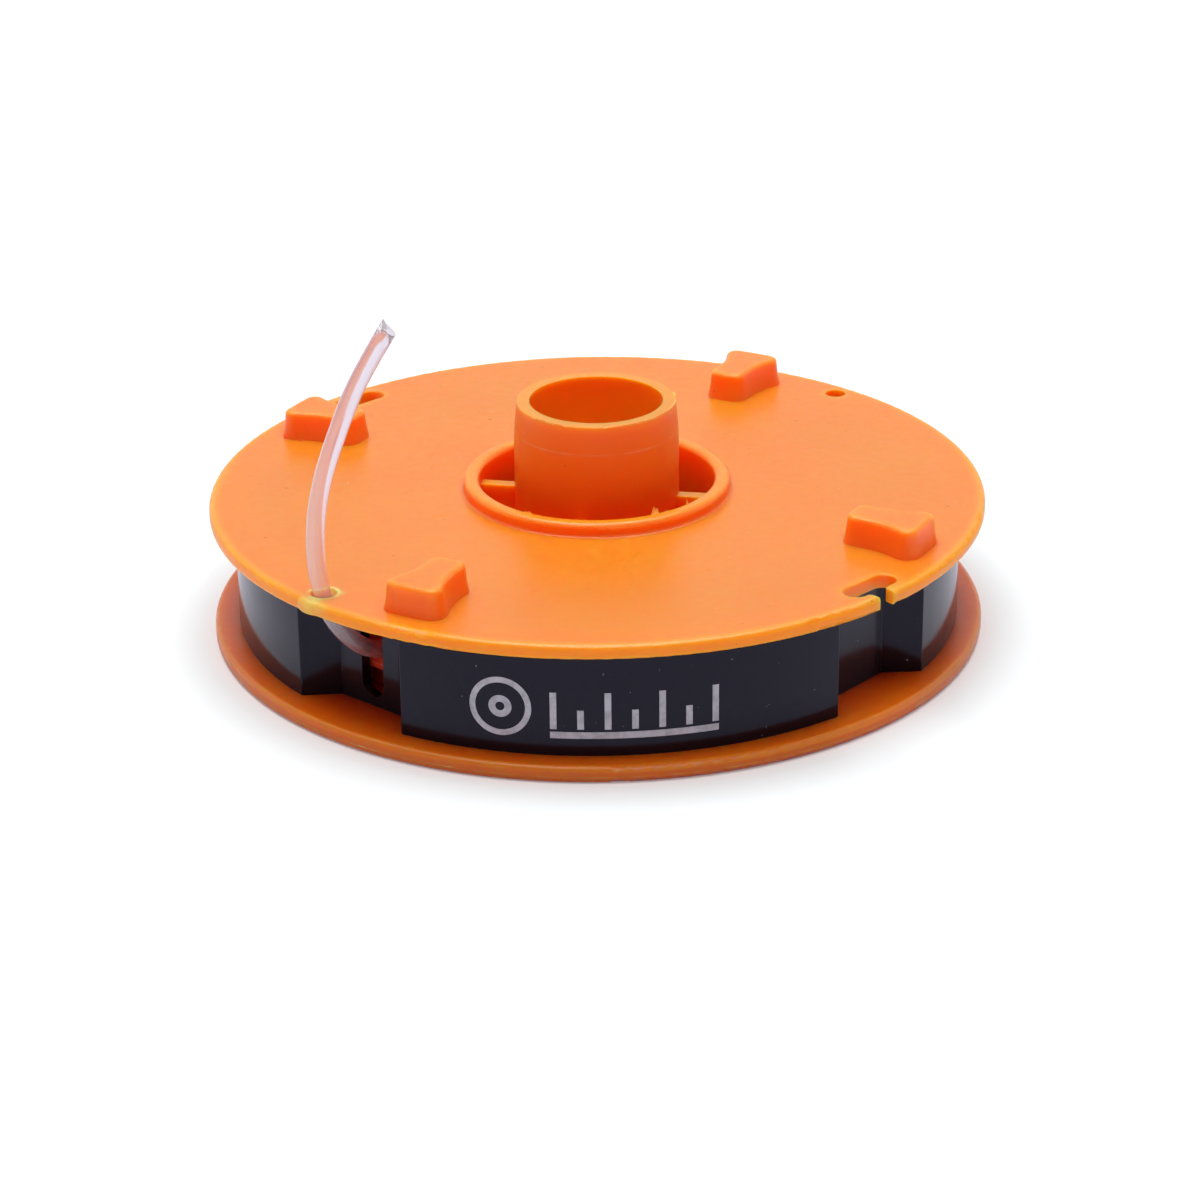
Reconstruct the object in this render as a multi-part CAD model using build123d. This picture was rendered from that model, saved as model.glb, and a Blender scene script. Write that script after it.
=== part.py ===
import math
import os

from build123d import *

# Trimmer line spool. Millimetres, degrees, +Z up the hub, -Y is the front.
# The origin is the middle of the underside.

# Trimmer line and its winding
line_d = 2.0
turns_per_layer = 6
layers = 4
turn_play = 0.2
turn_press = 0.1

# Flanges and drum of the moulding
flange_r = 44.0
base_t = 1.9
flange_t = 1.65
rim_round = 0.6
edge_round = 0.2
drum_wall = 1.5

# Hub tube with a tapered nose
bore_r = 7.55
hub_wall = 1.8
hub_h = 26.3
nose_h = 3.2
nose_taper = 0.4
nose_round = 0.15
nose_blend = 40.0

# Recess round the tube, the raised ring at its mouth and the spokes across it
recess_r = 13.4
ring_wall = 1.75
ring_h = 1.55
lip_round = 0.6
foot_round = 0.35
floor_t = 1.45
spoke_count = 4
spoke_angle = -11.0
spoke_t = 1.4
spoke_drop = 0.3
rib_t = 1.4

# Flared drive lugs on the top flange
lug_count = 4
lug_angle = -119.0
lug_h = 3.2
lug_inset = 3.3
lug_len = 8.8
lug_neck = 2.5
lug_half_w = 2.1
lug_flare_w = 1.95
lug_inner_round = 1.2
lug_outer_round = 1.2
lug_top_round = 0.5

# Walls of a lug from its foot up: share of the height, and how far the wall stands outside the top's outline
lug_wall = [(0.0, 0.42), (0.3, 0.22)]

# Line holes and parking slots near the rim of the top flange
hole_count = 2
hole_angle = -134.7
hole_inset = 2.6
hole_d = 2.4
worn_hole_d = 2.9
web_bulge = 0.3
slot_count = 2
slot_angle = -45.2
slot_inset = 2.95
slot_w = 2.7
slot_sweep = 6.3
mouth_w = 2.15
mouth_shift = -0.6
mouth_corners = 4
jaw_round = 0.6

# Black band that keeps the winding on the drum
lobe_inset = 2.8
band_wall = 1.25
band_play = 0.3
band_clear = 0.5
band_angle = -131.2
recess_count = 4
recess_depth = 3.85
recess_half_w = 4.35
flank_angle = 45.0
corner_round = 0.25
notch_count = 2
notch_w = 3.2
notch_shift = 0.35
notch_sill = 1.1
split_w = 0.6

# A round takes at most this share of its wall
round_limit = 0.45

# Heights that follow from the winding
line_r = line_d / 2
winding_h = turns_per_layer * line_d
line_gap = winding_h + turn_play
band_h = line_gap - band_play
top_under = base_t + line_gap
top_z = top_under + flange_t
ring_top = top_z + ring_h

# Radii that follow, from the rim of the flange inwards to the drum
lug_outer_r = flange_r - lug_inset
lug_inner_r = lug_outer_r - lug_len
lug_waist_r = lug_inner_r + lug_neck
hole_path_r = flange_r - hole_inset
slot_path_r = flange_r - slot_inset
lobe_r = flange_r - lobe_inset
recess_floor = lobe_r - recess_depth
last_turn_r = recess_floor - band_wall - band_clear - line_r
nest_rise = math.sqrt((line_d - turn_press) ** 2 - line_r**2)
groove_r = last_turn_r - nest_rise
drum_r = groove_r + line_r - layers * line_d
drum_in_r = drum_r - drum_wall
hub_r = bore_r + hub_wall
ring_r = recess_r + ring_wall
rim = min(rim_round, round_limit * flange_t)
base_rim = min(rim_round, round_limit * base_t)
lip = min(lip_round, round_limit * ring_wall)

# The last turns lie in the grooves of the layer below, and the line leaves from the upper one
last_groove = 3
last_turn_z = base_t + last_groove * line_d
last_turn_sweep = 283.0
tail_start = 7.4
tail_lift = 0.05
tail_first_run = 3.7

# Route of the free end after its first run: out from the hub's axis, sideways and up, at the notch
tail_route = [
    (38.35, -0.32, 8.85),
    (41.00, -1.98, 12.80),
    (41.61, -3.05, 17.00),
    (41.73, -3.19, 22.20),
    (41.16, -2.54, 28.00),
    (39.78, -0.96, 34.00),
    (38.21, 0.83, 39.90),
    (36.04, 3.31, 45.25),
]
tail_bend = 0.45

# Blocks that stand on their foot
on_foot = (Align.CENTER, Align.CENTER, Align.MIN)


def corner(face, x, y):
    """The vertex of a sketch nearest to a point."""
    return face.vertices().sort_by_distance((x, y))[0]


def around(shape, count, start):
    """Copies of a shape, evenly spaced round the hub."""
    return [Rot(0, 0, start + 360 * i / count) * shape for i in range(count)]


def moulding_section():
    """Half section of the moulding: tube, cup of the recess, drum and bottom flange, in one wall."""
    outline = [
        (bore_r, 0),
        (bore_r, hub_h),
        (hub_r - nose_taper, hub_h),
        (hub_r, hub_h - nose_h),
        (hub_r, floor_t),
        (recess_r, floor_t),
        (recess_r, ring_top),
        (ring_r, ring_top),
        (ring_r, top_z),
        (drum_r, top_z),
        (drum_r, base_t),
        (flange_r, base_t),
        (flange_r, 0),
        (drum_in_r, 0),
        (drum_in_r, top_under),
        (ring_r, top_under),
        (ring_r, 0),
    ]
    face = make_face(Polyline(*outline, close=True))
    for z in (0, base_t):
        face = fillet(corner(face, flange_r, z), base_rim)
    for r in (recess_r, ring_r):
        face = fillet(corner(face, r, ring_top), lip)
    face = fillet(corner(face, ring_r, top_z), foot_round)
    face = fillet(corner(face, hub_r - nose_taper, hub_h), nose_round)
    face = fillet(corner(face, hub_r, hub_h - nose_h), nose_blend)
    return face


def lug():
    """One lug: a narrow neck that flares towards the rim, with a curved outer side."""
    half = math.degrees(math.asin((lug_half_w + lug_flare_w) / lug_outer_r))
    neck = Line((lug_inner_r, lug_half_w), (lug_waist_r, lug_half_w))
    end = CenterArc((0, 0), lug_outer_r, half, -2 * half)
    flare = TangentArc(neck @ 1, end @ 0, tangent=neck % 1)
    sides = [neck, flare, mirror(neck, Plane.XZ), mirror(flare, Plane.XZ)]
    back = Line((lug_inner_r, -lug_half_w), (lug_inner_r, lug_half_w))
    face = make_face([back, end] + sides)
    for v in (lug_half_w, -lug_half_w):
        face = fillet(corner(face, lug_inner_r, v), lug_inner_round)
    for point in (end @ 0, end @ 1):
        face = fillet(corner(face, point.X, point.Y), lug_outer_round)
    levels = [Pos(0, 0, share * lug_h) * offset(face, spread) for share, spread in lug_wall]
    solid = loft(levels + [Pos(0, 0, lug_h) * face])
    top = solid.faces().sort_by(Axis.Z)[-1]
    return fillet(top.edges(), lug_top_round)


def parking_slot():
    """Curved pocket that takes the line, open to the rim through a mouth."""
    pocket = SlotArc(CenterArc((0, 0), slot_path_r, -slot_sweep / 2, slot_sweep), slot_w)
    reach = flange_r - slot_path_r + slot_w
    mouth = Pos(slot_path_r + reach / 2, 0) * Rectangle(reach, mouth_w)
    return pocket + Rot(0, 0, mouth_shift) * mouth


def top_flange():
    """Top flange with its line holes, parking slots and rounded rim."""
    plan = Circle(flange_r + edge_round) - Circle(drum_in_r)
    plan -= around(parking_slot(), slot_count, slot_angle)
    jaws = []
    for mouth in around(Vertex(slot_path_r + slot_w, 0, 0), slot_count, slot_angle + mouth_shift):
        jaws += plan.vertices().sort_by_distance(mouth)[:mouth_corners]
    plan = fillet(jaws, jaw_round)
    slab = extrude(plan, flange_t)
    faces = slab.faces().sort_by(Axis.Z)
    slab = fillet(faces[-1].outer_wire().edges() + faces[0].outer_wire().edges(), edge_round)
    disc = make_face(Polyline((0, 0), (flange_r, 0), (flange_r, flange_t), (0, flange_t), close=True))
    for z in (0, flange_t):
        disc = fillet(corner(disc, flange_r, z), rim)
    slab &= revolve(disc.moved(Location(Plane.XZ)), Axis.Z)
    web = Cylinder(flange_r + web_bulge - hole_path_r, flange_t, align=on_foot)
    web = fillet(web.edges().filter_by(GeomType.CIRCLE), rim)
    slab += Rot(0, 0, hole_angle) * Pos(hole_path_r, 0) * web
    hole = Pos(hole_path_r, 0) * Cylinder(hole_d / 2, flange_t, align=on_foot)
    slab -= around(hole, hole_count, hole_angle)
    worn_hole = Pos(hole_path_r, 0) * Cylinder(worn_hole_d / 2, flange_t, align=on_foot)
    slab -= Rot(0, 0, hole_angle) * worn_hole
    return Pos(0, 0, top_under) * slab


def rib(start_r, end_r, thickness, height):
    """Upright rib along the radius."""
    return Pos((start_r + end_r) / 2, 0) * Box(end_r - start_r, thickness, height, align=on_foot)


def spokes():
    """Ribs across the recess, and the ribs beneath the top flange that carry on from them."""
    ring_mid = ring_r - ring_wall / 2
    spoke = rib(hub_r - hub_wall / 2, ring_mid, spoke_t, top_z - spoke_drop)
    under = rib(ring_mid, drum_r - drum_wall / 2, rib_t, top_under)
    return around(spoke, spoke_count, spoke_angle) + around(under, spoke_count, spoke_angle)


def make_spool():
    body = revolve(moulding_section().moved(Location(Plane.XZ)), Axis.Z)
    lugs = [Pos(0, 0, top_z) * item for item in around(lug(), lug_count, lug_angle)]
    return body + [top_flange()] + lugs + spokes()


def band_outline():
    """Outer outline of the band: a circle with trapezium recesses."""
    depth = 2 * recess_depth
    spread = depth * math.tan(math.radians(flank_angle))
    groove = Polygon(
        (recess_floor, -recess_half_w),
        (recess_floor + depth, -recess_half_w - spread),
        (recess_floor + depth, recess_half_w + spread),
        (recess_floor, recess_half_w),
        align=None,
    )
    return Circle(lobe_r) - around(groove, recess_count, band_angle)


def notch(height):
    """U-shaped notch for the line, open at the band's top edge."""
    straight = height - notch_sill - notch_w / 2
    foot = notch_sill + notch_w / 2
    shape = Pos(0, foot) * Circle(notch_w / 2)
    shape += Pos(0, foot + straight) * Rectangle(notch_w, 2 * straight)
    cutter = extrude(Plane.YZ * shape, recess_depth, both=True)
    return Pos(recess_floor, notch_shift, 0) * cutter


def make_band():
    outer = band_outline()
    inner = offset(outer, -band_wall, kind=Kind.INTERSECTION)
    outer = fillet(outer.vertices(), corner_round)
    band = extrude(outer - inner, band_h)
    band -= around(notch(band_h), notch_count, band_angle)
    gap_angle = band_angle - 360 / recess_count
    gap = Pos(recess_floor, 0, band_h / 2) * Box(recess_depth * 2, split_w, band_h * 2)
    band -= Rot(0, 0, gap_angle) * gap
    return Pos(0, 0, base_t) * band


def winding_section():
    """Half section of the winding: flat against drum and flange, one round bead for each turn outside."""
    face = Pos((drum_r + groove_r) / 2, winding_h / 2) * Rectangle(groove_r - drum_r, winding_h)
    for turn in range(turns_per_layer):
        face += Pos(groove_r, line_r + turn * line_d) * Circle(line_r)
    return face


def last_turn(z, start, sweep):
    """One turn of the part-filled last layer, in a groove of the layer below."""
    ring = Plane.XZ * (Pos(last_turn_r, z) * Circle(line_r))
    return Rot(0, 0, start) * revolve(ring, Axis.Z, sweep)


def make_winding():
    turns = Pos(0, 0, base_t) * revolve(Plane.XZ * winding_section(), Axis.Z)
    whole = last_turn(last_turn_z - line_d, 0, 360)
    part = last_turn(last_turn_z, band_angle + tail_start, last_turn_sweep)
    return turns + whole + part


def tail_points():
    """Route of the free end in the spool's frame, from the end of the last turn to the cut tip."""
    start_r = groove_r + math.sqrt(line_d**2 - line_r**2) + tail_lift
    start = Vector(start_r, 0, last_turn_z).rotate(Axis.Z, tail_start)
    leave = Vector(0, -tail_first_run, 0).rotate(Axis.Z, tail_start)
    points = [start, start + leave] + [Vector(*point) for point in tail_route]
    return [point.rotate(Axis.Z, band_angle) for point in points]


def make_tail():
    points = tail_points()
    radii = []
    for before, here, after in zip(points, points[1:], points[2:]):
        turn = math.radians((here - before).get_angle(after - here))
        run = min((here - before).length, (after - here).length)
        radii.append(tail_bend * run / math.tan(turn / 2))
    print("tail radii", [round(radius, 1) for radius in radii])
    path = FilletPolyline(*points, radius=radii)
    tube = sweep(Plane(path @ 0, z_dir=path % 0) * Circle(line_r), path)
    section = math.pi * line_r**2
    print("tail length", round(path.length, 2))
    print("tail volume ratio", round(tube.volume / (path.length * section), 4))
    return tube


def main():
    os.makedirs("parts", exist_ok=True)
    nodes = {
        "spool": make_spool(),
        "line_retainer": make_band(),
        "wound_line": make_winding(),
        "line_tail": make_tail(),
    }
    for name, shape in nodes.items():
        export_step(shape, f"parts/{name}.step")


main()
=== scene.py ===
import math

import bpy
from mathutils import Matrix, Vector


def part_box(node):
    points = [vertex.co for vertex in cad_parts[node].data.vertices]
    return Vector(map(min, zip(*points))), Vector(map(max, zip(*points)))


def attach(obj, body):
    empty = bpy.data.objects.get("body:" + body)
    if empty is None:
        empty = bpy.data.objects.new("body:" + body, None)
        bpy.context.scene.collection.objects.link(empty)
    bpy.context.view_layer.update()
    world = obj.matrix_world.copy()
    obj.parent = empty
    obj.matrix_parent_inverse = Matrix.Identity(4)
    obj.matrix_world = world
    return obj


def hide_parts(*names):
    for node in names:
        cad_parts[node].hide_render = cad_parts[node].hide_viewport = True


# Spool of trimmer line. Metres, +Z up the hub, -Y is the front.
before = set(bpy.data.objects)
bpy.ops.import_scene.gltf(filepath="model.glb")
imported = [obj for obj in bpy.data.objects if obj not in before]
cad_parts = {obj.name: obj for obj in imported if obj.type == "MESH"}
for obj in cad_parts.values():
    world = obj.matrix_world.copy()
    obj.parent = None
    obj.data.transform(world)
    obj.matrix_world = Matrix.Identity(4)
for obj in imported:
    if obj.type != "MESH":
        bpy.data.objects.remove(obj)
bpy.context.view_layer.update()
MM = 0.001

# Sizes read from the frame
spool_low, spool_high = [Vector(corner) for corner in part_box("spool")]
band_low, band_high = [Vector(corner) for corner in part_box("line_retainer")]
wound_low, wound_high = [Vector(corner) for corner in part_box("wound_line")]
flange_r = spool_high.x
bore_r = 7.55 * MM
hub_top = spool_high.z
lobe_r = band_high.x
band_foot = band_low.z
winding_foot = wound_low.z

# Trimmer line and its turns, as in the part
line_d = 2.0 * MM
line_r = line_d / 2
turns_per_layer = 6
layers = 4
last_turn_r = wound_high.x - line_r
turn_press = 0.1 * MM
nest_rise = math.sqrt((line_d - turn_press) ** 2 - line_r**2)
groove_r = last_turn_r - nest_rise
last_groove = 3
last_turn_z = winding_foot + last_groove * line_d
last_turn_sweep = math.radians(283)
turn_points = 16
step_points = 3
tail_start = math.radians(7.4)
tail_lift = 0.05 * MM
tail_first_run = 3.7 * MM

# Route of the free end after its first run: out from the hub's axis, sideways and up, at the notch
band_angle = math.radians(-131.2)
tail_route = [
    (38.35, -0.32, 8.85),
    (41.00, -1.98, 12.80),
    (41.61, -3.05, 17.00),
    (41.73, -3.19, 22.20),
    (41.16, -2.54, 28.00),
    (39.78, -0.96, 34.00),
    (38.21, 0.83, 39.90),
    (36.04, 3.31, 45.25),
]
line_sides = 20
line_length = 4.955
# Lengths back from the line's end between which the painted red light from the drum fades out; the wound turns'
# material starts at the first.
red_light_reach = (46 * MM, 37 * MM)

# Camera of the photograph: its place, the point it looks at and its lens
camera_place = Vector((0.14, -368.10, 163.74)) * MM
camera_aim = Vector((0.20, 0, 1.59)) * MM
camera_roll = math.radians(-0.632)
lens_mm = 104.445
sensor_mm = 36.0

# Stress-whitened places on the moulding: centre, inner and outer reach, strength
hole_place = Vector((-29.12, -29.43, 15.75)) * MM
hole_r = 1.45 * MM
wear_places = [
    (Vector((-30.1, -31.9, 15.0)) * MM, 0.5 * MM, 2.6 * MM, 0.85),
    (Vector((-27.3, -29.5, 15.75)) * MM, 0.1 * MM, 0.6 * MM, 0.9),
    (Vector((29.9, -32.0, 15.2)) * MM, 0.3 * MM, 1.1 * MM, 0.5),
    (Vector((31.2, -30.9, 15.2)) * MM, 0.4 * MM, 1.2 * MM, 0.7),
]

# Flash left by the mould, as fins: radius, foot's height, first and last angle, height, lean outwards
ring_lip_r = 13.4 * MM
ring_lip_z = 17.3 * MM
flash_fins = [
    (8.84 * MM, hub_top - 0.10 * MM, -85, 16, 0.34 * MM, 0.26 * MM),
    (8.84 * MM, hub_top - 0.10 * MM, -145, -112, 0.26 * MM, 0.20 * MM),
    (8.86 * MM, hub_top - 0.10 * MM, 2, 10, 0.55 * MM, 0.30 * MM),
    (13.60 * MM, ring_lip_z - 0.40 * MM, -64.0, -59.8, 1.45 * MM, -0.10 * MM),
    (13.80 * MM, ring_lip_z - 0.20 * MM, -60.5, -54.0, 0.42 * MM, 0.15 * MM),
    (13.60 * MM, ring_lip_z - 0.40 * MM, -43.4, -41.6, 1.00 * MM, -0.05 * MM),
    (13.65 * MM, ring_lip_z - 0.35 * MM, -127.0, -121.0, 0.60 * MM, 0.05 * MM),
    (flange_r - 0.14 * MM, 0.72 * MM, -127.0, -122.5, 0.14 * MM, 0.17 * MM),
    (flange_r - 0.14 * MM, 0.72 * MM, -112.0, -110.5, 0.12 * MM, 0.17 * MM),
]
fin_width = 0.3 * MM

# Print on the band: the angle of its middle, its height, and how far it stands out and reaches in
print_angle = math.radians(-90.4)
print_z = 7.2 * MM
print_out = 0.02 * MM
print_in = 0.05 * MM
ring_mark = (-10.2 * MM, 0.0, 2.7 * MM, 3.35 * MM)
dot_mark = (0.5 * MM, 1.25 * MM)
scale_left = -4.9 * MM
scale_right = 13.0 * MM
scale_low = -3.3 * MM
scale_t = 0.75 * MM
tick_count = 7
tick_w = 0.7 * MM
tick_gap = 0.3 * MM
tick_heights = (4.2 * MM, 2.2 * MM)


def polar(radius, angle, height):
    """Point at a radius and an angle round the hub."""
    return Vector((radius * math.cos(angle), radius * math.sin(angle), height))


def turned(point):
    """Point of the free end's route, turned from the notch's own axes to the frame's."""
    return Matrix.Rotation(band_angle, 3, "Z") @ point


def add_nodes(material):
    """The shader nodes of a material, its links and its main shader."""
    material.use_nodes = True
    nodes = material.node_tree.nodes
    return nodes, material.node_tree.links, nodes["Principled BSDF"]


def noise(nodes, links, source, scale, detail=2.0):
    """Noise over the object's own coordinates."""
    node = nodes.new("ShaderNodeTexNoise")
    node.inputs["Scale"].default_value = scale
    node.inputs["Detail"].default_value = detail
    links.new(source, node.inputs["Vector"])
    return node.outputs["Fac"]


def ramp(nodes, links, source, low, high, to_low, to_high):
    """Value carried over from one range to another, clamped."""
    node = nodes.new("ShaderNodeMapRange")
    for name, value in zip(("From Min", "From Max", "To Min", "To Max"), (low, high, to_low, to_high)):
        node.inputs[name].default_value = value
    links.new(source, node.inputs["Value"])
    return node.outputs["Result"]


def mixed(nodes, links, factor, first, second):
    """Colour between two others. Each is a colour or the output of a node."""
    node = nodes.new("ShaderNodeMix")
    node.data_type = "RGBA"
    links.new(factor, node.inputs["Factor"])
    for socket, colour in ((node.inputs[6], first), (node.inputs[7], second)):
        if isinstance(colour, tuple):
            socket.default_value = (*colour, 1)
        else:
            links.new(colour, socket)
    return node.outputs[2]


def bump(nodes, links, height, distance, strength=1.0):
    """Bump from a height in the range 0 to 1, as deep as distance."""
    node = nodes.new("ShaderNodeBump")
    node.inputs["Strength"].default_value = strength
    node.inputs["Distance"].default_value = distance
    links.new(height, node.inputs["Height"])
    return node.outputs["Normal"]


def depth(nodes, distance, inside, alone):
    """How open the surface is within a distance, or how thick the piece is when seen from inside."""
    node = nodes.new("ShaderNodeAmbientOcclusion")
    node.samples = 8
    node.inside = inside
    node.only_local = alone
    node.inputs["Distance"].default_value = distance
    return node.outputs["AO"]


def nearness(nodes, links, place, centre, low, high):
    """1 within a distance of a point, falling to 0 at another."""
    node = nodes.new("ShaderNodeVectorMath")
    node.operation = "DISTANCE"
    links.new(place, node.inputs[0])
    node.inputs[1].default_value = centre
    return ramp(nodes, links, node.outputs["Value"], low, high, 1, 0)


def nearness_value(nodes, links, value, centre, low, high):
    """1 within a distance of a value, falling to 0 at another."""
    shift = nodes.new("ShaderNodeMath")
    shift.operation = "SUBTRACT"
    links.new(value, shift.inputs[0])
    shift.inputs[1].default_value = centre
    size = nodes.new("ShaderNodeMath")
    size.operation = "ABSOLUTE"
    links.new(shift.outputs[0], size.inputs[0])
    return ramp(nodes, links, size.outputs[0], low, high, 1, 0)


def times(nodes, links, first, second):
    """Product of two values."""
    node = nodes.new("ShaderNodeMath")
    node.operation = "MULTIPLY"
    links.new(first, node.inputs[0])
    links.new(second, node.inputs[1])
    return node.outputs[0]


def blended(nodes, links, factor, first, second):
    """Value between two others. Each is a number or the output of a node."""
    node = nodes.new("ShaderNodeMix")
    links.new(factor, node.inputs["Factor"])
    for socket, value in ((node.inputs[2], first), (node.inputs[3], second)):
        if isinstance(value, (int, float)):
            socket.default_value = value
        else:
            links.new(value, socket)
    return node.outputs[0]


def split(nodes, links, source, axis):
    """One coordinate of a place."""
    node = nodes.new("ShaderNodeSeparateXYZ")
    links.new(source, node.inputs[0])
    return node.outputs[axis]


def out_from_axis(nodes, links, place):
    """Distance of a place from the hub's axis."""
    flat = nodes.new("ShaderNodeVectorMath")
    flat.operation = "MULTIPLY"
    links.new(place, flat.inputs[0])
    flat.inputs[1].default_value = (1, 1, 0)
    size = nodes.new("ShaderNodeVectorMath")
    size.operation = "LENGTH"
    links.new(flat.outputs[0], size.inputs[0])
    return size.outputs["Value"]


def orange_plastic():
    """Semi-gloss moulded orange that lets light through, with painted shade as deeper red in its nooks and low down,
    painted glow in the bore, at thin edges and round the top flange's rim, and whitened wear at the line hole and the
    slot.
    """
    material = bpy.data.materials.new("orange_plastic")
    nodes, links, shader = add_nodes(material)
    place = nodes.new("ShaderNodeTexCoord").outputs["Object"]
    height = split(nodes, links, place, "Z")
    radius = out_from_axis(nodes, links, place)
    flow = noise(nodes, links, place, 60, 3)
    colour = mixed(nodes, links, ramp(nodes, links, flow, 0.3, 0.7, 0, 1), (0.97, 0.192, 0.005), (0.98, 0.213, 0.006))
    # Painted shade: the colour turns deeper red in nooks and recesses, and redder still near the bottom, where less
    # light reaches.
    nook_shade = ramp(nodes, links, depth(nodes, 14 * MM, False, False), 0.25, 0.85, 1, 0)
    outside = times(nodes, links, ramp(nodes, links, radius, ring_lip_r - 0.2 * MM, ring_lip_r + 0.2 * MM, 0, 1),
                    ramp(nodes, links, height, band_foot + 8 * MM, band_foot + 9 * MM, 0, 1))
    deep = mixed(nodes, links, outside, (1.0, 0.125, 0.003), (1.0, 0.150, 0.004))
    low = ramp(nodes, links, height, band_foot + 1 * MM, band_foot + 3 * MM, 1, 0)
    deep = mixed(nodes, links, low, deep, (1.0, 0.068, 0.001))
    colour = mixed(nodes, links, nook_shade, colour, deep)
    # Painted glow: paler yellow-orange inside the bore, in place of light coming through its walls.
    bore = times(nodes, links, ramp(nodes, links, radius, bore_r + 0.1 * MM, bore_r + 0.3 * MM, 1, 0), nook_shade)
    colour = mixed(nodes, links, bore, colour, (1.0, 0.50, 0.008))
    # Painted glow: yellower orange at thin edges, stronger higher up, in place of light shining through them.
    thin = times(nodes, links, ramp(nodes, links, depth(nodes, 1.5 * MM, True, True), 0.5, 0.95, 0.9, 0),
                 ramp(nodes, links, height, band_foot, band_foot + 9 * MM, 0.3, 1))
    colour = mixed(nodes, links, thin, colour, (1.0, 0.290, 0.005))
    # Painted highlight: a yellower band round the top flange's rounded rim.
    rim = times(nodes, links, ramp(nodes, links, radius, flange_r - 1.2 * MM, flange_r - 0.1 * MM, 0, 0.8),
                ramp(nodes, links, height, band_foot + 8 * MM, band_foot + 9 * MM, 0, 1))
    colour = mixed(nodes, links, rim, colour, (1.0, 0.320, 0.005))
    streaks = noise(nodes, links, place, 420, 3)
    lip = times(nodes, links, nearness(nodes, links, place, hole_place, hole_r + 0.2 * MM, hole_r + 0.5 * MM),
                ramp(nodes, links, streaks, 0.40, 0.52, 0.1, 0.9))
    colour = mixed(nodes, links, lip, colour, (0.98, 0.62, 0.19))
    for centre, low, high, level in wear_places:
        reach = nearness(nodes, links, place, centre, low, high)
        worn = times(nodes, links, reach, ramp(nodes, links, streaks, 0.38, 0.60, 0.2, level))
        colour = mixed(nodes, links, worn, colour, (0.98, 0.58, 0.15))
    taper = times(nodes, links, nearness_value(nodes, links, height, hub_top - 3.2 * MM, 0.04 * MM, 0.15 * MM),
                  ramp(nodes, links, radius, bore_r + 0.9 * MM, bore_r + 1.0 * MM, 0, 1))
    scratch = times(nodes, links, taper, ramp(nodes, links, noise(nodes, links, place, 420, 4), 0.42, 0.62, 0.1, 0.6))
    colour = mixed(nodes, links, scratch, colour, (1.0, 0.40, 0.16))
    seam = times(nodes, links, nearness_value(nodes, links, height, 0.75 * MM, 0.02 * MM, 0.08 * MM),
                 ramp(nodes, links, radius, flange_r - 0.1 * MM, flange_r - 0.05 * MM, 0, 1))
    seam = times(nodes, links, seam, ramp(nodes, links, streaks, 0.40, 0.60, 0.1, 0.6))
    colour = mixed(nodes, links, seam, colour, (1.0, 0.40, 0.10))
    flecks = ramp(nodes, links, noise(nodes, links, place, 800, 1), 0.80, 0.83, 0, 0.5)
    colour = mixed(nodes, links, flecks, colour, (1.0, 0.45, 0.16))
    specks = ramp(nodes, links, noise(nodes, links, place, 1300, 1), 0.79, 0.82, 0, 0.6)
    colour = mixed(nodes, links, specks, colour, (0.40, 0.06, 0.004))
    links.new(colour, shader.inputs["Base Color"])
    grain = noise(nodes, links, place, 900, 3)
    links.new(ramp(nodes, links, grain, 0.3, 0.7, 0.28, 0.40), shader.inputs["Roughness"])
    links.new(bump(nodes, links, grain, 0.01 * MM, 0.4), shader.inputs["Normal"])
    shader.inputs["IOR"].default_value = 1.42
    shader.inputs["Subsurface Weight"].default_value = 1.0
    shader.inputs["Subsurface Radius"].default_value = (1.0, 0.25, 0.04)
    shader.inputs["Subsurface Scale"].default_value = 7.0 * MM
    return material


def whitened_plastic():
    """Thin orange flash, pale where it is drawn out."""
    material = bpy.data.materials.new("whitened_plastic")
    nodes, links, shader = add_nodes(material)
    place = nodes.new("ShaderNodeTexCoord").outputs["Object"]
    pale = ramp(nodes, links, noise(nodes, links, place, 1600, 2), 0.35, 0.65, 0, 1)
    links.new(mixed(nodes, links, pale, (0.97, 0.40, 0.03), (0.98, 0.66, 0.16)), shader.inputs["Base Color"])
    links.new(ramp(nodes, links, pale, 0, 1, 0.35, 0.6), shader.inputs["Roughness"])
    shader.inputs["Subsurface Weight"].default_value = 0.3
    shader.inputs["Subsurface Scale"].default_value = 0.3 * MM
    return material


def printed_ink():
    """Pale grey ink, a little worn."""
    material = bpy.data.materials.new("printed_ink")
    nodes, links, shader = add_nodes(material)
    place = nodes.new("ShaderNodeTexCoord").outputs["Object"]
    worn = ramp(nodes, links, noise(nodes, links, place, 1100, 4), 0.35, 0.6, 0, 1)
    links.new(mixed(nodes, links, worn, (0.40, 0.39, 0.46), (0.55, 0.54, 0.63)), shader.inputs["Base Color"])
    links.new(ramp(nodes, links, worn, 0, 1, 0.3, 0.5), shader.inputs["Roughness"])
    return material


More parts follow.
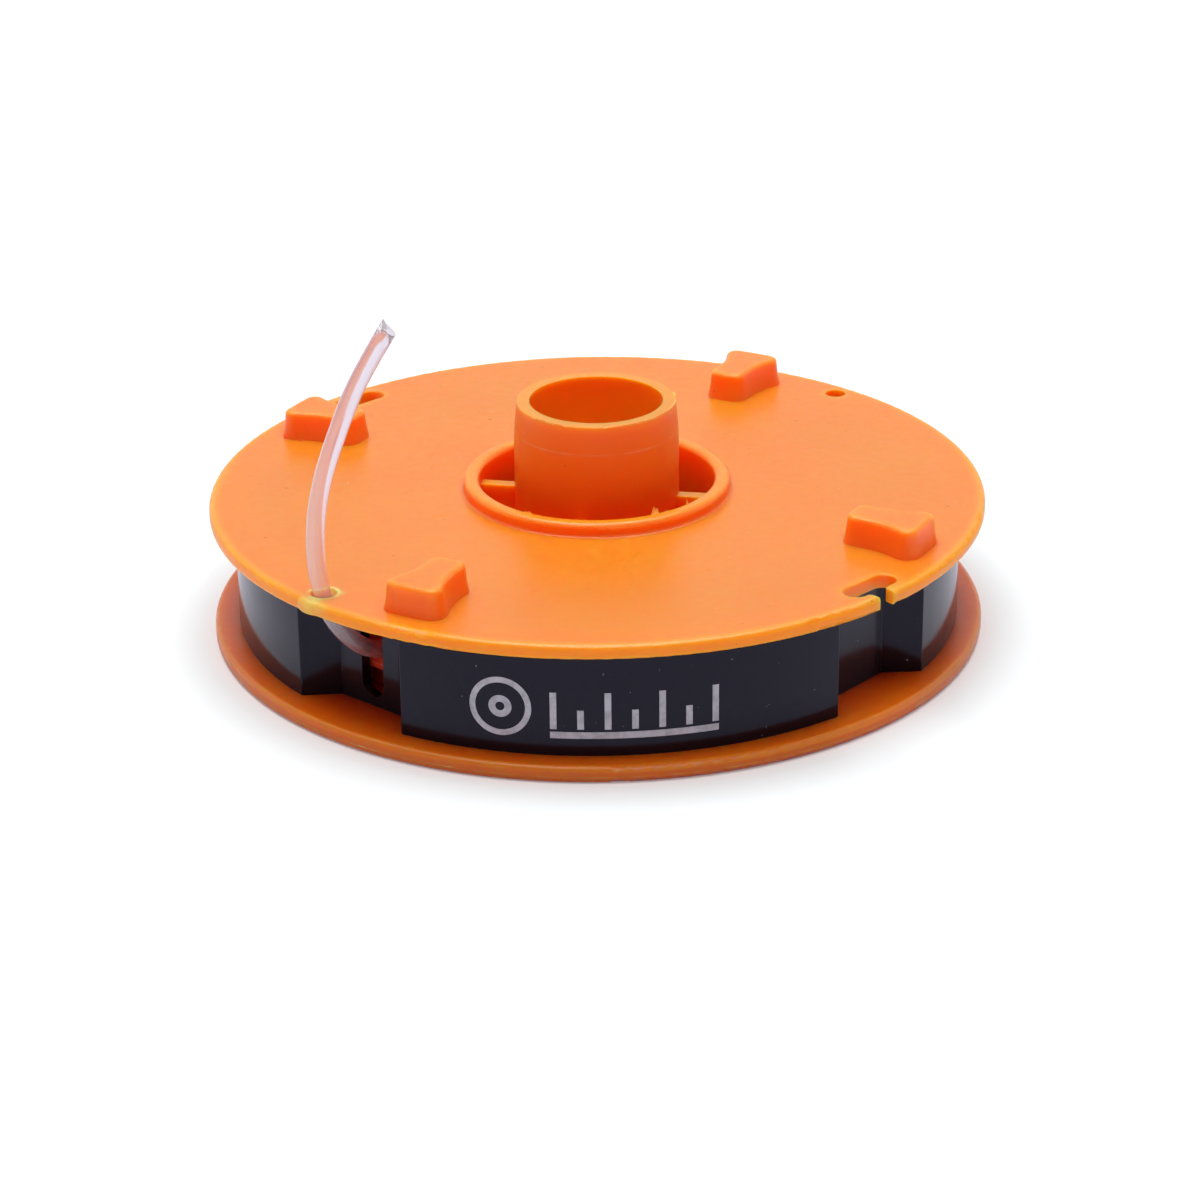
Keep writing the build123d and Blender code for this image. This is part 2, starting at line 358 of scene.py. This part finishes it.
def black_plastic():
    """Glossy black band with a painted highlight of lighter grey along its edges, and a few specks of dust."""
    material = bpy.data.materials.new("black_plastic")
    nodes, links, shader = add_nodes(material)
    place = nodes.new("ShaderNodeTexCoord").outputs["Object"]
    dust = ramp(nodes, links, noise(nodes, links, place, 2000, 1), 0.77, 0.81, 0, 0.6)
    # Painted highlight: lighter grey along the band's edges and thin parts.
    edge_highlight = ramp(nodes, links, depth(nodes, 0.5 * MM, True, True), 0.2, 0.6, 0.25, 0)
    colour = mixed(nodes, links, edge_highlight, (0.005, 0.005, 0.009), (0.16, 0.155, 0.18))
    colour = mixed(nodes, links, dust, colour, (0.22, 0.22, 0.25))
    links.new(colour, shader.inputs["Base Color"])
    haze = noise(nodes, links, place, 220, 3)
    links.new(ramp(nodes, links, haze, 0.3, 0.7, 0.10, 0.18), shader.inputs["Roughness"])
    links.new(bump(nodes, links, haze, 0.02 * MM, 0.3), shader.inputs["Normal"])
    shader.inputs["IOR"].default_value = 1.33
    shader.inputs["Specular Tint"].default_value = (0.80, 0.76, 1.0, 1)
    return material


def clear_line():
    """Clear nylon with fine pale and pink streaks along its length, painted reflections of the white and orange round
    it, and painted red light from the drum near the turns.
    """
    material = bpy.data.materials.new("clear_line")
    nodes, links, shader = add_nodes(material)
    around = nodes.new("ShaderNodeAttribute")
    around.attribute_name = "around"
    # Painted reflections: pink and lilac-white streaks round the line, with finer whiter ones, in place of what the
    # clear nylon would reflect and bend.
    streak = noise(nodes, links, around.outputs["Vector"], 2.6, 0.5)
    tone = ramp(nodes, links, streak, 0.42, 0.60, 0, 1)
    colour = mixed(nodes, links, tone, (0.93, 0.79, 0.80), (0.93, 0.91, 0.98))
    fine = ramp(nodes, links, noise(nodes, links, around.outputs["Vector"], 4.2, 0), 0.56, 0.64, 0, 0.8)
    colour = mixed(nodes, links, fine, colour, (0.98, 0.96, 1.0))
    # Painted red light from the orange drum, fading out along the free end.
    along = split(nodes, links, around.outputs["Vector"], "Z")
    low, high = [line_length - value for value in red_light_reach]
    red = ramp(nodes, links, along, low, high, 0.95, 0)
    colour = mixed(nodes, links, red, colour, (0.90, 0.10, 0.06))
    links.new(colour, shader.inputs["Base Color"])
    links.new(ramp(nodes, links, streak, 0.3, 0.7, 0.12, 0.26), shader.inputs["Roughness"])
    links.new(bump(nodes, links, streak, 0.05 * MM, 0.3), shader.inputs["Normal"])
    shader.inputs["IOR"].default_value = 1.45
    shader.inputs["Transmission Weight"].default_value = 0.8
    shader.inputs["Coat Weight"].default_value = 0.8
    shader.inputs["Coat Roughness"].default_value = 0.06
    return material


def wound_turns():
    """The same nylon in its turns, coloured with painted red light from the orange drum and flanges round it."""
    material = bpy.data.materials.new("wound_turns")
    nodes, links, shader = add_nodes(material)
    around = nodes.new("ShaderNodeAttribute")
    around.attribute_name = "around"
    streak = ramp(nodes, links, noise(nodes, links, around.outputs["Vector"], 3.0, 2), 0.35, 0.65, 0, 1)
    # Painted red light from the drum, in two tones along the streaks.
    links.new(mixed(nodes, links, streak, (0.95, 0.05, 0.02), (0.97, 0.10, 0.04)), shader.inputs["Base Color"])
    links.new(ramp(nodes, links, streak, 0, 1, 0.15, 0.3), shader.inputs["Roughness"])
    shader.inputs["Transmission Weight"].default_value = 0.15
    return material


def cut_nylon():
    """Frosted face of a cut in the line."""
    material = bpy.data.materials.new("cut_nylon")
    nodes, links, shader = add_nodes(material)
    place = nodes.new("ShaderNodeTexCoord").outputs["Object"]
    frost = ramp(nodes, links, noise(nodes, links, place, 2400, 3), 0.35, 0.65, 0, 1)
    links.new(mixed(nodes, links, frost, (0.84, 0.74, 0.80), (0.90, 0.88, 0.96)), shader.inputs["Base Color"])
    links.new(ramp(nodes, links, frost, 0, 1, 0.35, 0.55), shader.inputs["Roughness"])
    shader.inputs["Transmission Weight"].default_value = 0.4
    return material


def winding_places():
    """Radius and height of each turn on the drum, in the order of winding."""
    places = []
    drum_r = groove_r + line_r - layers * line_d
    for layer in range(layers):
        heights = [winding_foot + line_r + line_d * turn for turn in range(turns_per_layer)]
        if layer % 2:
            heights.reverse()
        places += [(drum_r + line_r + layer * line_d, height) for height in heights]
    return places + [(last_turn_r, last_turn_z - line_d)]


def winding_points():
    """Turns of the line as rings that step to the next place, wound clockwise, up to the notch."""
    start = band_angle + tail_start + last_turn_sweep
    swell = 1 / math.cos(math.pi / turn_points)
    places = winding_places()
    points = []
    before = places[0]
    for radius, height in places:
        for step in range(turn_points):
            share = min(1, step / step_points)
            here = [a + (b - a) * share for a, b in zip(before, (radius, height))]
            points.append(polar(here[0] * swell, start - math.tau * step / turn_points, here[1]))
        before = (radius, height)
    last_steps = round(turn_points * last_turn_sweep / math.tau)
    for step in range(last_steps):
        share = min(1, step / step_points)
        height = before[1] + (last_turn_z - before[1]) * share
        points.append(polar(last_turn_r * swell, start - last_turn_sweep * step / last_steps, height))
    return points


def tail_points():
    """Route of the free end, from the end of the last turn to the cut tip."""
    start_r = groove_r + math.sqrt(line_d**2 - line_r**2) + tail_lift
    start = polar(start_r, tail_start, last_turn_z)
    leave = Vector((math.sin(tail_start), -math.cos(tail_start), 0)) * tail_first_run
    return [turned(point) for point in [start, start + leave] + [Vector(point) * MM for point in tail_route]]


def spline_object(name, points):
    """Curve object with one smooth open spline, with the points as its control points."""
    curve = bpy.data.curves.new(name, "CURVE")
    curve.dimensions = "3D"
    spline = curve.splines.new("NURBS")
    spline.points.add(len(points) - 1)
    for target, point in zip(spline.points, points):
        target.co = (*point, 1)
    spline.order_u = 3
    spline.use_endpoint_u = True
    spline.resolution_u = 6
    piece = bpy.data.objects.new(name, curve)
    bpy.context.scene.collection.objects.link(piece)
    return piece


def route_points(name, points):
    """Points along the smooth spline of a route."""
    route = spline_object(name, points)
    mesh = bpy.data.meshes.new_from_object(route)
    path = [vertex.co.copy() for vertex in mesh.vertices]
    bpy.data.objects.remove(route)
    bpy.data.meshes.remove(mesh)
    return path


def rings(path):
    """Along each point of a path: its direction and two directions across it, turned as little as possible."""
    across = Vector((0, 0, 1))
    frames = []
    for index in range(len(path)):
        ahead = path[min(index + 1, len(path) - 1)] - path[max(index - 1, 0)]
        ahead.normalize()
        across = (across - ahead * across.dot(ahead)).normalized()
        frames.append((ahead, across, ahead.cross(across)))
    return frames


def cut_height(direction):
    """How far the cut end reaches beyond the path's end, in line radii: a ragged slant with one high corner."""
    peak = Vector((-1.0, 0.2, 0.3)).normalized()
    side = direction.dot(peak)
    return 0.16 * side + 0.55 * max(0, side) ** 3 - 0.1


def tube(name, path):
    """Round line along a path, with a slanted cut end. Its attribute runs round and along it."""
    vertices = []
    around = []
    along = 0.0
    for index, (point, (ahead, across, aside)) in enumerate(zip(path, rings(path))):
        along += (point - path[max(index - 1, 0)]).length
        for side in range(line_sides):
            angle = math.tau * side / line_sides
            direction = across * math.cos(angle) + aside * math.sin(angle)
            reach = cut_height(direction) * line_r if index == len(path) - 1 else 0
            vertices.append(point + direction * line_r + ahead * reach)
            around.append((math.cos(angle), math.sin(angle), along))
    faces = []
    for index in range(len(path) - 1):
        for side in range(line_sides):
            after = (side + 1) % line_sides
            low, high = index * line_sides, (index + 1) * line_sides
            faces.append((low + side, low + after, high + after, high + side))
    faces.append(tuple(reversed(range(line_sides))))
    rim = len(vertices) - line_sides
    middle = len(vertices)
    vertices.append(path[-1] - rings(path)[-1][0] * 0.2 * line_r)
    around.append((0, 0, along))
    faces += [(rim + side, rim + (side + 1) % line_sides, middle) for side in range(line_sides)]
    mesh = bpy.data.meshes.new(name)
    mesh.from_pydata(vertices, [], faces)
    sides = (len(path) - 1) * line_sides
    turn_rings = sum(reach < line_length - red_light_reach[0] for _, _, reach in around[line_sides::line_sides])
    mesh.polygons.foreach_set("use_smooth", [index < sides for index in range(len(mesh.polygons))])
    looks = [2] * (turn_rings * line_sides) + [0] * (sides - turn_rings * line_sides)
    looks += [1] * (len(mesh.polygons) - sides)
    mesh.polygons.foreach_set("material_index", looks)
    layer = mesh.attributes.new("around", "FLOAT_VECTOR", "POINT")
    layer.data.foreach_set("vector", [value for place in around for value in place])
    piece = bpy.data.objects.new(name, mesh)
    bpy.context.scene.collection.objects.link(piece)
    return piece


def make_line():
    """The whole length of line, wound on the drum and out to its free end."""
    path = route_points("line_route", winding_points() + tail_points())
    piece = tube("trimmer_line", path)
    piece.data.materials.append(clear_line())
    piece.data.materials.append(cut_nylon())
    piece.data.materials.append(wound_turns())
    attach(piece, "root")
    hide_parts("wound_line", "line_tail")


def mesh_piece(name, vertices, faces, material):
    """Piece of the object from a mesh, with its material."""
    mesh = bpy.data.meshes.new(name)
    mesh.from_pydata(vertices, [], faces)
    mesh.materials.append(material)
    piece = bpy.data.objects.new(name, mesh)
    bpy.context.scene.collection.objects.link(piece)
    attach(piece, "root")
    return piece


def make_flash():
    """Ragged fins of plastic left by the mould on the hub's edge and on the ring's lip."""
    vertices = []
    faces = []
    for order, (radius, foot, first, last, height, lean) in enumerate(flash_fins):
        steps = max(6, round((last - first) * 1.5))
        start = len(vertices)
        for step in range(steps + 1):
            share = step / steps
            angle = math.radians(first + (last - first) * share)
            ragged = 0.75 + 0.15 * math.sin(13 * share + 3 * order) + 0.10 * math.sin(29 * share + order)
            rise = height * ragged * math.sin(math.pi * share) ** 0.5
            vertices.append(polar(radius - fin_width / 2, angle, foot))
            vertices.append(polar(radius + fin_width / 2, angle, foot))
            vertices.append(polar(radius + lean * ragged, angle, foot + rise))
        for step in range(steps):
            here, after = start + 3 * step, start + 3 * step + 3
            for one, two in ((1, 0), (2, 1), (0, 2)):
                faces.append((here + one, here + two, after + two, after + one))
        faces.append((start, start + 1, start + 2))
        end = start + 3 * steps
        faces.append((end, end + 2, end + 1))
    mesh_piece("mould_flash", vertices, faces, whitened_plastic())


def bent(along, up, radius):
    """Place on the band's front, from a length along it and a height."""
    return polar(radius, print_angle + along / lobe_r, print_z + up)


def printed_strip(low, high, closed):
    """Thin slab of ink between two lines on the band, each a list of places along and up."""
    vertices = []
    for first, second in zip(low, high):
        for place in (first, second):
            vertices.append(bent(*place, lobe_r - print_in))
            vertices.append(bent(*place, lobe_r + print_out))
    count = len(low)
    faces = []
    for index in range(count if closed else count - 1):
        here, after = 4 * index, 4 * ((index + 1) % count)
        for one, two in ((0, 1), (1, 3), (3, 2), (2, 0)):
            faces.append((here + one, after + one, after + two, here + two))
    if not closed:
        end = 4 * (count - 1)
        faces += [(0, 1, 3, 2), (end, end + 2, end + 3, end + 1)]
    return vertices, faces


def printed_bar(left, right, low, high):
    """Upright rectangle of ink, bent to the band."""
    steps = max(2, round((right - left) / MM))
    along = [left + (right - left) * step / steps for step in range(steps + 1)]
    return printed_strip([(place, low) for place in along], [(place, high) for place in along], False)


def printed_ring(along, up, inner, outer):
    """Ring of ink."""
    angles = [math.tau * step / 48 for step in range(48)]
    lines = [[(along + size * math.cos(a), up + size * math.sin(a)) for a in angles] for size in (inner, outer)]
    return printed_strip(lines[1], lines[0], True)


def make_print():
    """Plain marks on the front of the band: a ring with a dot, and a scale."""
    strips = [printed_ring(*ring_mark), printed_ring(*ring_mark[:2], *dot_mark)]
    strips.append(printed_bar(scale_left, scale_right, scale_low, scale_low + scale_t))
    for tick in range(tick_count):
        left = scale_left + (scale_right - scale_left - tick_w) * tick / (tick_count - 1)
        foot = scale_low + scale_t + tick_gap
        strips.append(printed_bar(left, left + tick_w, foot, foot + tick_heights[tick % len(tick_heights)]))
    vertices = []
    faces = []
    for points, sides in strips:
        faces += [tuple(index + len(vertices) for index in face) for face in sides]
        vertices += points
    mesh_piece("band_print", vertices, faces, printed_ink())


def dress(node, material):
    """Gives a node of the frame its material."""
    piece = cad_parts[node]
    piece.data.materials.clear()
    piece.data.materials.append(material)
    for polygon in piece.data.polygons:
        polygon.material_index = 0


def make_floor():
    """White floor that shows only the object's shadow."""
    mesh = bpy.data.meshes.new("floor")
    half = 3.0
    corners = [(-half, -half, 0), (half, -half, 0), (half, half, 0), (-half, half, 0)]
    mesh.from_pydata(corners, [], [(0, 1, 2, 3)])
    floor = bpy.data.objects.new("floor", mesh)
    bpy.context.scene.collection.objects.link(floor)
    material = bpy.data.materials.new("floor")
    nodes, links, shader = add_nodes(material)
    mirrored = nodes.new("ShaderNodeLightPath").outputs["Is Glossy Ray"]
    links.new(mixed(nodes, links, mirrored, (0.80, 0.84, 0.86), (0.75, 0.75, 0.875)), shader.inputs["Base Color"])
    shader.inputs["Roughness"].default_value = 0.9
    shader.inputs["Specular IOR Level"].default_value = 0
    glow = nodes.new("ShaderNodeEmission")
    glow.inputs["Strength"].default_value = 1.0
    seen = seen_rays(nodes, links)
    lift = nodes.new("ShaderNodeMath")
    lift.operation = "MULTIPLY"
    lift.inputs[1].default_value = 0.24
    links.new(seen, lift.inputs[0])
    mix = nodes.new("ShaderNodeMixShader")
    links.new(lift.outputs[0], mix.inputs[0])
    links.new(shader.outputs[0], mix.inputs[1])
    links.new(glow.outputs[0], mix.inputs[2])
    links.new(mix.outputs[0], nodes["Material Output"].inputs["Surface"])
    mesh.materials.append(material)


def seen_rays(nodes, links):
    """1 for what the camera, a reflection or a clear piece shows, and 0 for light on a surface."""
    path = nodes.new("ShaderNodeLightPath")
    total = path.outputs["Is Camera Ray"]
    for name in ("Is Glossy Ray", "Is Transmission Ray"):
        node = nodes.new("ShaderNodeMath")
        node.operation = "MAXIMUM"
        links.new(total, node.inputs[0])
        links.new(path.outputs[name], node.inputs[1])
        total = node.outputs[0]
    return total


def make_light():
    """White surroundings, dim behind the camera, and one broad soft lamp overhead."""
    world = bpy.data.worlds.new("studio")
    bpy.context.scene.world = world
    world.use_nodes = True
    nodes, links = world.node_tree.nodes, world.node_tree.links
    ground = nodes["Background"]
    level = 0.16
    path = nodes.new("ShaderNodeLightPath")
    towards = split(nodes, links, nodes.new("ShaderNodeTexCoord").outputs["Generated"], "Y")
    mirrored = ramp(nodes, links, towards, -0.5, 0.3, 0.4, 1)
    strength = blended(nodes, links, path.outputs["Is Glossy Ray"], level, mirrored)
    links.new(mixed(nodes, links, path.outputs["Is Glossy Ray"], (1, 1, 1), (0.93, 0.90, 1.0)), ground.inputs["Color"])
    for name in ("Is Camera Ray", "Is Transmission Ray"):
        strength = blended(nodes, links, path.outputs[name], strength, 1)
    links.new(strength, ground.inputs["Strength"])
    lamp = bpy.data.lights.new("overhead", "AREA")
    lamp.shape = "SQUARE"
    lamp.size = 0.9
    lamp.energy = 14.2
    piece = bpy.data.objects.new("overhead", lamp)
    piece.location = (-0.03, 0.06, 0.95)
    piece.rotation_euler = (-piece.location).to_track_quat("-Z", "Y").to_euler()
    bpy.context.scene.collection.objects.link(piece)


def make_camera():
    """Camera of the photograph."""
    data = bpy.data.cameras.new("camera")
    data.sensor_fit = "HORIZONTAL"
    data.sensor_width = sensor_mm
    data.lens = lens_mm
    data.clip_start = 0.01
    camera = bpy.data.objects.new("camera", data)
    camera.location = camera_place
    aim = (camera_aim - camera_place).to_track_quat("-Z", "Y")
    camera.rotation_euler = (aim.to_matrix() @ Matrix.Rotation(camera_roll, 3, "Z")).to_euler()
    bpy.context.scene.collection.objects.link(camera)
    bpy.context.scene.camera = camera


make_camera()
make_line()
dress("spool", orange_plastic())
dress("line_retainer", black_plastic())
make_flash()
make_print()
make_floor()
make_light()
bpy.context.scene.view_settings.view_transform = "Standard"
